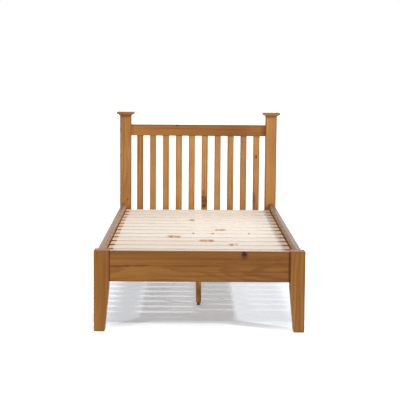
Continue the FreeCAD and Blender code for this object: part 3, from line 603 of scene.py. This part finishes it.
def cross_recess(blank, top, size, depth):
    """Press a cross recess in a head: two crossing slots that narrow towards the bottom."""
    for turn in (0.0, math.pi / 2):
        bpy.ops.object.select_all(action="DESELECT")
        bpy.ops.mesh.primitive_cube_add(size=1.0, location=(0.0, 0.0, top), rotation=(0.0, 0.0, turn))
        punch = bpy.context.object
        punch.scale = (size, 0.26 * size, 2 * depth)
        bpy.ops.object.transform_apply(location=True, rotation=True, scale=True)
        pick_faces(punch, lambda middle, normal: normal.z < -0.9)
        bpy.ops.transform.resize(value=(0.45, 0.45, 1.0), center_override=(0.0, 0.0, top - depth))
        bpy.ops.object.mode_set(mode="OBJECT")
        cut(blank, punch)


pan_steps = [
    (0.55 * PAN_HEAD, PAN_HEIGHT),
    (0.82 * PAN_HEAD, PAN_HEIGHT - 0.0003),
    (0.96 * PAN_HEAD, PAN_HEIGHT - 0.001),
    (PAN_HEAD, PAN_HEIGHT - 0.0018),
    (PAN_HEAD, 0.0),
    (PAN_CORE, 0.0),
    (PAN_CORE, 0.004 - PAN_LENGTH),
    (0.0002, -PAN_LENGTH),
]
pan_screw = turned("pan_screw_blank", pan_steps, 20)
cross_recess(pan_screw, PAN_HEIGHT, PAN_RECESS, PAN_RECESS_DEPTH)
roll_thread(pan_screw, PAN_CORE, PAN_SIZE / 2, PAN_PITCH, 0.002 - PAN_LENGTH, -0.0005, 10)
bracket_screw_places = []
for end, reach in (("foot", SCREW_REACH), ("head", -SCREW_REACH)):
    bracket_low, bracket_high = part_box(f"corner_bracket_{end}_right")
    corner_y = bracket_low.y if end == "foot" else bracket_high.y
    sheet_face = bracket_high.x - BRACKET_SHEET
    for side in (-1, 1):
        for level in BOLT_LEVELS:
            spin = 2.3 * level * 1000 + side
            place = (side * sheet_face, corner_y + reach, level)
            bracket_screw_places.append(facing(place, (-side, 0.0, 0.0), spin))
set_out(pan_screw, "bracket_pan_screws", "bracket_screws", bracket_screw_places, zinc_fixing)

# Ledgers: battens along the inside of the side rails, with raised spacers that keep the slats apart.
# They are screwed on from the inside, and stained with the rails but not lacquered.
DULL_STAIN = {**HONEY_STAIN, "roughness": 0.60, "gloss": 0.06, "sheen": 0.0}
# Along the rail side each ledger is painted darker, a painted shade for the shadow deep in the groove beside
# the rail
for side, tone in (("left", 0.72), ("right", 0.70)):
    name = f"slat_ledger_{side}"
    low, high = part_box(name)
    rail_side = low.x if side == "left" else high.x
    pine(
        name,
        ALONG_BED,
        (0.04, 0.0, -0.03 * (side == "right")),
        DULL_STAIN,
        shade=(tone, tone),
        shade_bands=((ACROSS_BED, rail_side, 0.020),),
        seed=37 + (side == "right"),
    )

# Ledger screws: countersunk wood screws through the ledgers into the side rails, seven to a side.
# Each has a cross recess, a plain neck and a coarse rolled thread.
SINK_LIP = 0.0002


def sunk_screw(label, size, length, head):
    """A countersunk wood screw whose head lies flush with the XY plane."""
    core, neck = 0.35 * size, 0.46 * size
    sink = (head - size) / 2
    thread_top = -0.35 * length
    steps = [
        (head / 2 - SINK_LIP, 0.0),
        (head / 2, -SINK_LIP),
        (neck, -sink - SINK_LIP),
        (neck, thread_top),
        (core, thread_top - 0.0006),
        (core, 0.004 - length),
        (0.0002, -length),
    ]
    blank = turned(label, steps, 20)
    cross_recess(blank, 0.0, 0.55 * head, 0.85 * sink)
    roll_thread(blank, core, size / 2, 0.45 * size, 0.003 - length, thread_top, 10)
    return blank


LEDGER_SCREW_SIZE, LEDGER_SCREW_LENGTH, LEDGER_SCREW_HEAD = 0.0045, 0.042, 0.009
SCREWS_TO_A_LEDGER = 7
ledger_screw = sunk_screw("ledger_screw_blank", LEDGER_SCREW_SIZE, LEDGER_SCREW_LENGTH, LEDGER_SCREW_HEAD)
low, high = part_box("ledger_screws")
step = (high.y - low.y - LEDGER_SCREW_HEAD) / (SCREWS_TO_A_LEDGER - 1)
ledger_screw_places = []
for side in (-1, 1):
    for number in range(SCREWS_TO_A_LEDGER):
        along_rail = low.y + LEDGER_SCREW_HEAD / 2 + number * step
        place = (side * (high.x - LEDGER_SCREW_LENGTH), along_rail, (low.z + high.z) / 2)
        ledger_screw_places.append(facing(place, (-side, 0.0, 0.0), 0.9 * number + side))
set_out(ledger_screw, "ledger_sunk_screws", "ledger_screws", ledger_screw_places, zinc_fixing)
bpy.data.objects.remove(ledger_screw)

# Centre hangers: folded steel stirrups on the foot rail and the headboard's lower rail.
# They are pressed from zinc-plated sheet, and the centre rail drops into them.
HANGER_SHEET = 0.002
for end in ("foot", "head"):
    coat(f"centre_hanger_{end}", zinc_sheet)

# Hanger screws: the same pan-headed screws as in the brackets, four to a hanger.
# They go through the ears of the hanger into the rail behind it.
HANGER_SCREW_X, HANGER_LEVELS = 0.0295, (0.271, 0.289)
hanger_screw_places = []
for end, out in (("foot", 1.0), ("head", -1.0)):
    hanger_low, hanger_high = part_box(f"centre_hanger_{end}")
    sheet_face = hanger_low.y + HANGER_SHEET if out > 0 else hanger_high.y - HANGER_SHEET
    for side in (-1, 1):
        for level in HANGER_LEVELS:
            spin = 3.1 * level * 1000 + side
            place = (side * HANGER_SCREW_X, sheet_face, level)
            hanger_screw_places.append(facing(place, (0.0, out, 0.0), spin))
set_out(pan_screw, "hanger_pan_screws", "hanger_screws", hanger_screw_places, zinc_fixing)
bpy.data.objects.remove(pan_screw)

# Centre rail: a planed batten of raw pine under the middle of the slats.
# It lies in steel hangers at the foot rail and the headboard.
RAW_PINE = {
    "early": (0.91, 0.87, 0.845),
    "late": (0.86, 0.76, 0.66),
    "warm": (0.88, 0.80, 0.72),
    "edge": (0.92, 0.82, 0.68),
    "streak": (0.58, 0.33, 0.17),
    "halo": (0.82, 0.62, 0.43),
    "knot": (0.66, 0.36, 0.17),
    "bark": (0.34, 0.18, 0.10),
    "painted_shade_tone": (0.91, 0.66, 0.44),
    "painted_shade_share": 0.7,
    "knot_fill": (0.70, 1.0),
    "knot_rim": 0.45,
    "roughness": 0.60,
    "gloss": 0.0,
    "sheen": 0.10,
}
pine("centre_rail", ALONG_BED, (0.04, 0.0, -0.06), RAW_PINE, seed=39)

# Bed slats: planed boards of raw pine laid across the bed with gaps between them.
# Each is screwed to the ledgers at both ends, and several have knots that run out at the front edge.
# Their ends are painted darker and warmer, a painted shade and painted warm bounce from the stained rails
# beside them, over a wider band at the right end.
BED_SLATS = 14
slat_marks = {
    4: (((0.1646, 0.008), 0.011, 1.0, 0.15), ((0.190, 0.012), 0.009, 1.0, 0.10)),
    5: (((0.026, 0.007), 0.013, 1.7, 0.0), ((0.062, 0.008), 0.015, 0.9, 0.35)),
    6: (((-0.146, 0.013), 0.017, 1.0, 0.35), ((-0.114, 0.007), 0.015, 1.0, 0.0)),
    7: (
        ((-0.0286, 0.001), 0.0045, 1.3, 0.0),
        ((0.0772, 0.001), 0.005, 1.3, 0.0),
        ((0.273, 0.002), 0.004, 1.2, 0.0),
    ),
    8: (((0.103, 0.004), 0.009, 1.1, 0.10), ((0.132, 0.005), 0.009, 1.8, 0.0)),
    11: (((-0.0361, 0.010), 0.012, 1.2, 0.2), ((0.124, 0.086), 0.008, 1.3, 0.1)),
}
# The slats nearest the foot and nearest the head are painted darker, a painted shade for the weaker light at
# the two ends of the bed
slat_painted_shades = {
    1: 0.92,
    2: 0.92,
    3: 0.93,
    4: 0.95,
    5: 0.97,
    10: 0.98,
    11: 0.95,
    12: 0.91,
    13: 0.89,
    14: 0.88,
}
# The slats' front and back faces get a warmer tan, partly their own colour and partly painted light on the
# edges seen between the slats
SLAT_EDGE_TAN = (0.92, 0.755, 0.545)
SHADED_END_LEFT, SHADED_END_RIGHT = 0.030, 0.045
for number in range(1, BED_SLATS + 1):
    name = f"bed_slat_{number:02d}"
    low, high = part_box(name)
    marks = [((x, low.y + inward, 0.0), *mark) for (x, inward), *mark in slat_marks.get(number, ())]
    heart = (0.0, 0.05 * math.sin(1.9 * number), -0.035 - 0.015 * math.cos(number))
    tone = slat_painted_shades.get(number, 1.0)
    pine(
        name,
        ACROSS_BED,
        heart,
        RAW_PINE,
        ring=0.0036,
        shade=(tone, tone),
        knots=marks,
        shade_bands=((ACROSS_BED, low.x, SHADED_END_LEFT), (ACROSS_BED, high.x, SHADED_END_RIGHT)),
        faces=(ALONG_BED, SLAT_EDGE_TAN, 0.85),
        seed=41 + number,
    )

# Slat screws: countersunk wood screws through both ends of each slat into the ledgers.
# Their heads lie flush with the top of the slats.
SLAT_SCREW_SIZE, SLAT_SCREW_LENGTH, SLAT_SCREW_HEAD = 0.004, 0.036, 0.008
slat_screw = sunk_screw("slat_screw_blank", SLAT_SCREW_SIZE, SLAT_SCREW_LENGTH, SLAT_SCREW_HEAD)
low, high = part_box("slat_screws")
step = (high.y - low.y - SLAT_SCREW_HEAD) / (BED_SLATS - 1)
slat_screw_places = []
for side in (-1, 1):
    for number in range(BED_SLATS):
        along_rail = low.y + SLAT_SCREW_HEAD / 2 + number * step
        place = (side * (high.x - SLAT_SCREW_HEAD / 2), along_rail, high.z)
        slat_screw_places.append(facing(place, (0.0, 0.0, 1.0), 1.3 * number + side))
set_out(slat_screw, "slat_sunk_screws", "slat_screws", slat_screw_places, zinc_fixing)
bpy.data.objects.remove(slat_screw)

# Leg bolts: double-ended steel bolts, hidden half in the centre rail and half in each support leg.
# They are cut from zinc-plated studding.
coat("leg_bolts", zinc_fixing)

# Support legs: turned pine rounds under the centre rail, tapered, with a rounded lower end.
# They take a paler stain than the frame, painted light for the light that reaches them under the bed, and
# screw on by a double-ended bolt.
for number, name in enumerate(("support_leg_front", "support_leg_rear")):
    pine(name, UPRIGHT, (0.004, 0.009, 0.0), PALE_HONEY_STAIN, shade=(1.35, 1.35), seed=57 + number)

# Threaded sleeves: short steel bushes pressed into the lower ends of the support legs.
# The levelling stems screw up and down in them.
leg_places = {}
for end in ("front", "rear"):
    leg_low, leg_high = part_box(f"support_leg_{end}")
    leg_places[end] = Vector((0.0, (leg_low.y + leg_high.y) / 2, leg_low.z))
SLEEVE_RADIUS, SLEEVE_BORE, SLEEVE_LENGTH, SLEEVE_MOUTH = 0.0061, 0.0041, 0.018, 0.0005
sleeve_steps = [
    (SLEEVE_BORE, SLEEVE_LENGTH),
    (SLEEVE_RADIUS, SLEEVE_LENGTH),
    (SLEEVE_RADIUS, SLEEVE_MOUTH),
    (SLEEVE_RADIUS - SLEEVE_MOUTH, 0.0),
    (SLEEVE_BORE + SLEEVE_MOUTH, 0.0),
    (SLEEVE_BORE, SLEEVE_MOUTH),
    (SLEEVE_BORE, SLEEVE_LENGTH),
]
sleeve = turned("sleeve_blank", sleeve_steps, 32, ring=True)
sleeve_places = [Matrix.Translation(place) for place in leg_places.values()]
set_out(sleeve, "leg_sleeves", "threaded_sleeves", sleeve_places, zinc_fixing)
bpy.data.objects.remove(sleeve)

# Levelling stems: threaded steel rods that screw into the sleeves, one to a support leg.
# Turning one raises or lowers its foot, so that the centre rail bears evenly.
STEM_CREST, STEM_ROOT, STEM_PITCH, STEM_CHAMFER = 0.004, 0.00338, 0.00125, 0.0006
for end in ("front", "rear"):
    node = f"levelling_stem_{end}"
    low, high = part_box(node)
    length = high.z - low.z
    stem_steps = [
        (STEM_ROOT - STEM_CHAMFER, 0.0),
        (STEM_ROOT, STEM_CHAMFER),
        (STEM_ROOT, length - STEM_CHAMFER),
        (STEM_ROOT - STEM_CHAMFER, length),
    ]
    stem = turned("stem_blank", stem_steps, 32)
    roll_thread(stem, STEM_ROOT, STEM_CREST, STEM_PITCH, 0.0005, length - 0.0003, 24)
    place = Matrix.Translation((leg_places[end].x, leg_places[end].y, low.z))
    set_out(stem, f"threaded_stem_{end}", node, [place], zinc_fixing, body=f"stem_{end}")
    bpy.data.objects.remove(stem)

# Levelling pads: moulded black feet on the lower ends of the stems, with grip hollows round the side.
# They are hard plastic with a fine spark texture, and stand on the floor.
plastic = Finish("black_moulding")
plastic_grain = plastic.noise(plastic.shift("MULTIPLY", plastic.place, (1500.0, 1500.0, 1500.0)), 3.0)
plastic_cloud = plastic.noise(plastic.shift("MULTIPLY", plastic.place, (120.0, 120.0, 120.0)))
PLASTIC_BLACK, PLASTIC_SCUFFED = (0.016, 0.016, 0.017), (0.034, 0.034, 0.036)
plastic_tone = plastic.layer(plastic.ramp(plastic_cloud, 0.35, 0.7), PLASTIC_BLACK, PLASTIC_SCUFFED)
plastic.dress(plastic_tone, plastic.ramp(plastic_grain, 0.3, 0.7, 0.42, 0.60), plastic_grain, 0.00006)
PAD_SIDES = 48
PAD_FOOT, PAD_TOP, PAD_HEIGHT, PAD_EDGE = 0.0096, 0.0080, 0.0060, 0.0004
PAD_SOCKET, PAD_SOCKET_FLOOR, PAD_WALL_MIDDLE = 0.0041, 0.0020, 0.006
GRIP_LOW, GRIP_HIGH, GRIP_BORDER, GRIP_DEPTH = 0.0024, 0.0048, 0.0002, 0.0004
pad_steps = [
    (PAD_FOOT - 0.0006, 0.0),
    (PAD_FOOT, PAD_EDGE),
    (PAD_FOOT, 3 * PAD_EDGE),
    (PAD_FOOT - PAD_EDGE, GRIP_LOW),
    (PAD_TOP + PAD_EDGE, GRIP_HIGH),
    (PAD_TOP, PAD_HEIGHT - PAD_EDGE),
    (PAD_TOP - 0.0005, PAD_HEIGHT),
    (PAD_SOCKET + PAD_EDGE, PAD_HEIGHT),
    (PAD_SOCKET, PAD_HEIGHT - PAD_EDGE),
    (PAD_SOCKET, PAD_SOCKET_FLOOR),
]


def every_other_grip(middle, normal):
    sector = int(PAD_SIDES / 2 * (math.atan2(middle.y, middle.x) / math.pi + 1.0))
    return GRIP_LOW < middle.z < GRIP_HIGH and middle.xy.length > PAD_WALL_MIDDLE and sector % 2 == 0


pad = turned("pad_blank", pad_steps, PAD_SIDES)
pick_faces(pad, every_other_grip)
bpy.ops.mesh.inset(thickness=GRIP_BORDER, depth=-GRIP_DEPTH, use_individual=True)
bpy.ops.object.mode_set(mode="OBJECT")
for end in ("front", "rear"):
    node = f"levelling_pad_{end}"
    place = Matrix.Translation((leg_places[end].x, leg_places[end].y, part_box(node)[0].z))
    set_out(
        pad,
        f"moulded_pad_{end}",
        node,
        [place],
        plastic.material,
        body=f"pad_{end}",
    )
bpy.data.objects.remove(pad)

# Floor: a plain pale studio floor that runs out to a white surround.
# To the camera and in reflections it glows, white beside and beyond the bed and only weakly under it, a
# painted shade the shape of the bed's footprint that deepens the bed's own shadow there.
FLOOR_REACH = 60.0
FLOOR_TONE, FLOOR_BOUNCE = (0.865, 0.93, 1.0), (0.75, 0.75, 0.75)
SHADED_HALF = (0.50, 0.86, 0.0)
SHADED_GLOW, OPEN_GLOW = 0.165, 0.62
SIDE_FADE, END_FADE = (-0.10, 0.12), (-0.01, 0.17)
bpy.ops.object.select_all(action="DESELECT")
bpy.ops.mesh.primitive_plane_add(size=2 * FLOOR_REACH)
floor = bpy.context.object
floor.name = "studio_floor"
paper = Finish("pale_paper")
indirect = paper.add("LightPath", out="Is Diffuse Ray")
paper.join(paper.layer(indirect, FLOOR_TONE, FLOOR_BOUNCE), paper.shader.inputs["Base Color"])
paper.shader.inputs["Roughness"].default_value = 1.0
paper.shader.inputs["Specular IOR Level"].default_value = 0.0
paper.shader.inputs["Emission Color"].default_value = (1.0, 1.0, 1.0, 1.0)
seen = paper.add("LightPath", out="Is Camera Ray")
mirrored = paper.add("LightPath", out="Is Glossy Ray")
beyond = paper.shift("SUBTRACT", paper.shift("ABSOLUTE", paper.place), SHADED_HALF)
beside = paper.add("SeparateXYZ", {0: beyond}, out="X")
beyond_ends = paper.add("SeparateXYZ", {0: beyond}, out="Y")
whiteness = paper.work_out(
    "MAXIMUM",
    paper.ramp(beside, *SIDE_FADE, SHADED_GLOW, OPEN_GLOW),
    paper.ramp(beyond_ends, *END_FADE, SHADED_GLOW, OPEN_GLOW),
)
paper.join(
    paper.work_out("MULTIPLY", paper.work_out("MAXIMUM", seen, mirrored), whiteness),
    paper.shader.inputs["Emission Strength"],
)
floor.data.materials.append(paper.material)

# Light: a surround that looks white and is brightest behind the bed, three lamps and two spots.
# One broad lamp hangs overhead, and one small lamp stands on each side in front.
# The spots pick out the headboard and the slats.
SURROUND_BEHIND_CAMERA, SURROUND_BEHIND_BED = 0.30, 0.42
MIRRORED_BEHIND_CAMERA, MIRRORED_BEHIND_BED = 0.15, 1.0
world = bpy.data.worlds.new("white_surround")
bpy.context.scene.world = world
world.use_nodes = True
surround = Nodes(world.node_tree)
to_head = surround.add("SeparateXYZ", {0: surround.add("TexCoord", out="Generated")}, out="Y")
lit_range = {0: to_head, 1: -1.0, 2: 1.0, 3: SURROUND_BEHIND_CAMERA, 4: SURROUND_BEHIND_BED}
mirror_range = {0: to_head, 1: -0.6, 2: 0.4, 3: MIRRORED_BEHIND_CAMERA, 4: MIRRORED_BEHIND_BED}
lit = surround.add("MapRange", lit_range)
mirror = surround.add("MapRange", mirror_range)
glossy_path = surround.add("LightPath", out="Is Glossy Ray")
camera_path = glossy_path.node.outputs["Is Camera Ray"]
glow = surround.add("Mix", {0: glossy_path, 2: lit, 3: mirror}, data_type="FLOAT")
glow = surround.add("Mix", {0: camera_path, 2: glow, 3: 1.0}, data_type="FLOAT")
sky = surround.tree.nodes["Background"]
sky.inputs["Color"].default_value = (1.0, 1.0, 1.0, 1.0)
surround.join(glow, sky.inputs["Strength"])


def aim(lamp, place, target):
    lamp.location = place
    lamp.rotation_euler = (Vector(target) - Vector(place)).to_track_quat("-Z", "Y").to_euler()


for name, place, power, spread in (
    ("top_lamp", (-0.2, -0.4, 4.0), 0.28, 45.0),
    ("right_lamp", (3.75, -2.40, 3.0), 1.70, 3.0),
    ("left_lamp", (-2.37, -3.0, 3.0), 0.76, 3.0),
):
    lamp = bpy.data.objects.new(name, bpy.data.lights.new(name, "SUN"))
    lamp.data.energy = power
    lamp.data.angle = math.radians(spread)
    aim(lamp, place, (0.0, 0.0, 0.0))
    bpy.context.scene.collection.objects.link(lamp)

for name, place, target, power, cone, fade, size in (
    ("headboard_spot", (1.3, -1.9, 0.75), (0.0, 0.97, 0.68), 122.0, 25.0, 0.5, 0.35),
    ("bed_spot", (0.30, -0.3, 3.0), (0.20, -0.15, 0.34), 40.0, 72.0, 1.0, 0.8),
):
    spot = bpy.data.objects.new(name, bpy.data.lights.new(name, "SPOT"))
    spot.data.energy = power
    spot.data.spot_size = math.radians(cone)
    spot.data.spot_blend = fade
    spot.data.shadow_soft_size = size
    aim(spot, place, target)
    bpy.context.scene.collection.objects.link(spot)

# Camera: at eye level beyond the foot end, looking along the bed and slightly down.
# It stands a little left of the middle and leans by less than half a degree.
CAMERA_PLACE = (-0.0364, -6.4289, 1.2192)
CAMERA_TURN, CAMERA_DIP, CAMERA_LEAN = -0.0067, 0.1104, 0.0075
CAMERA_LENS, CAMERA_SENSOR = 105.65, 36.0
camera = bpy.data.objects.new("camera", bpy.data.cameras.new("camera"))
camera.data.sensor_width = CAMERA_SENSOR
camera.data.lens = CAMERA_LENS
camera.matrix_world = (
    Matrix.Translation(CAMERA_PLACE)
    @ Matrix.Rotation(CAMERA_TURN, 4, "Z")
    @ Matrix.Rotation(math.pi / 2 - CAMERA_DIP, 4, "X")
    @ Matrix.Rotation(CAMERA_LEAN, 4, "Z")
)
bpy.context.scene.collection.objects.link(camera)
bpy.context.scene.camera = camera
bpy.context.scene.view_settings.view_transform = "Standard"
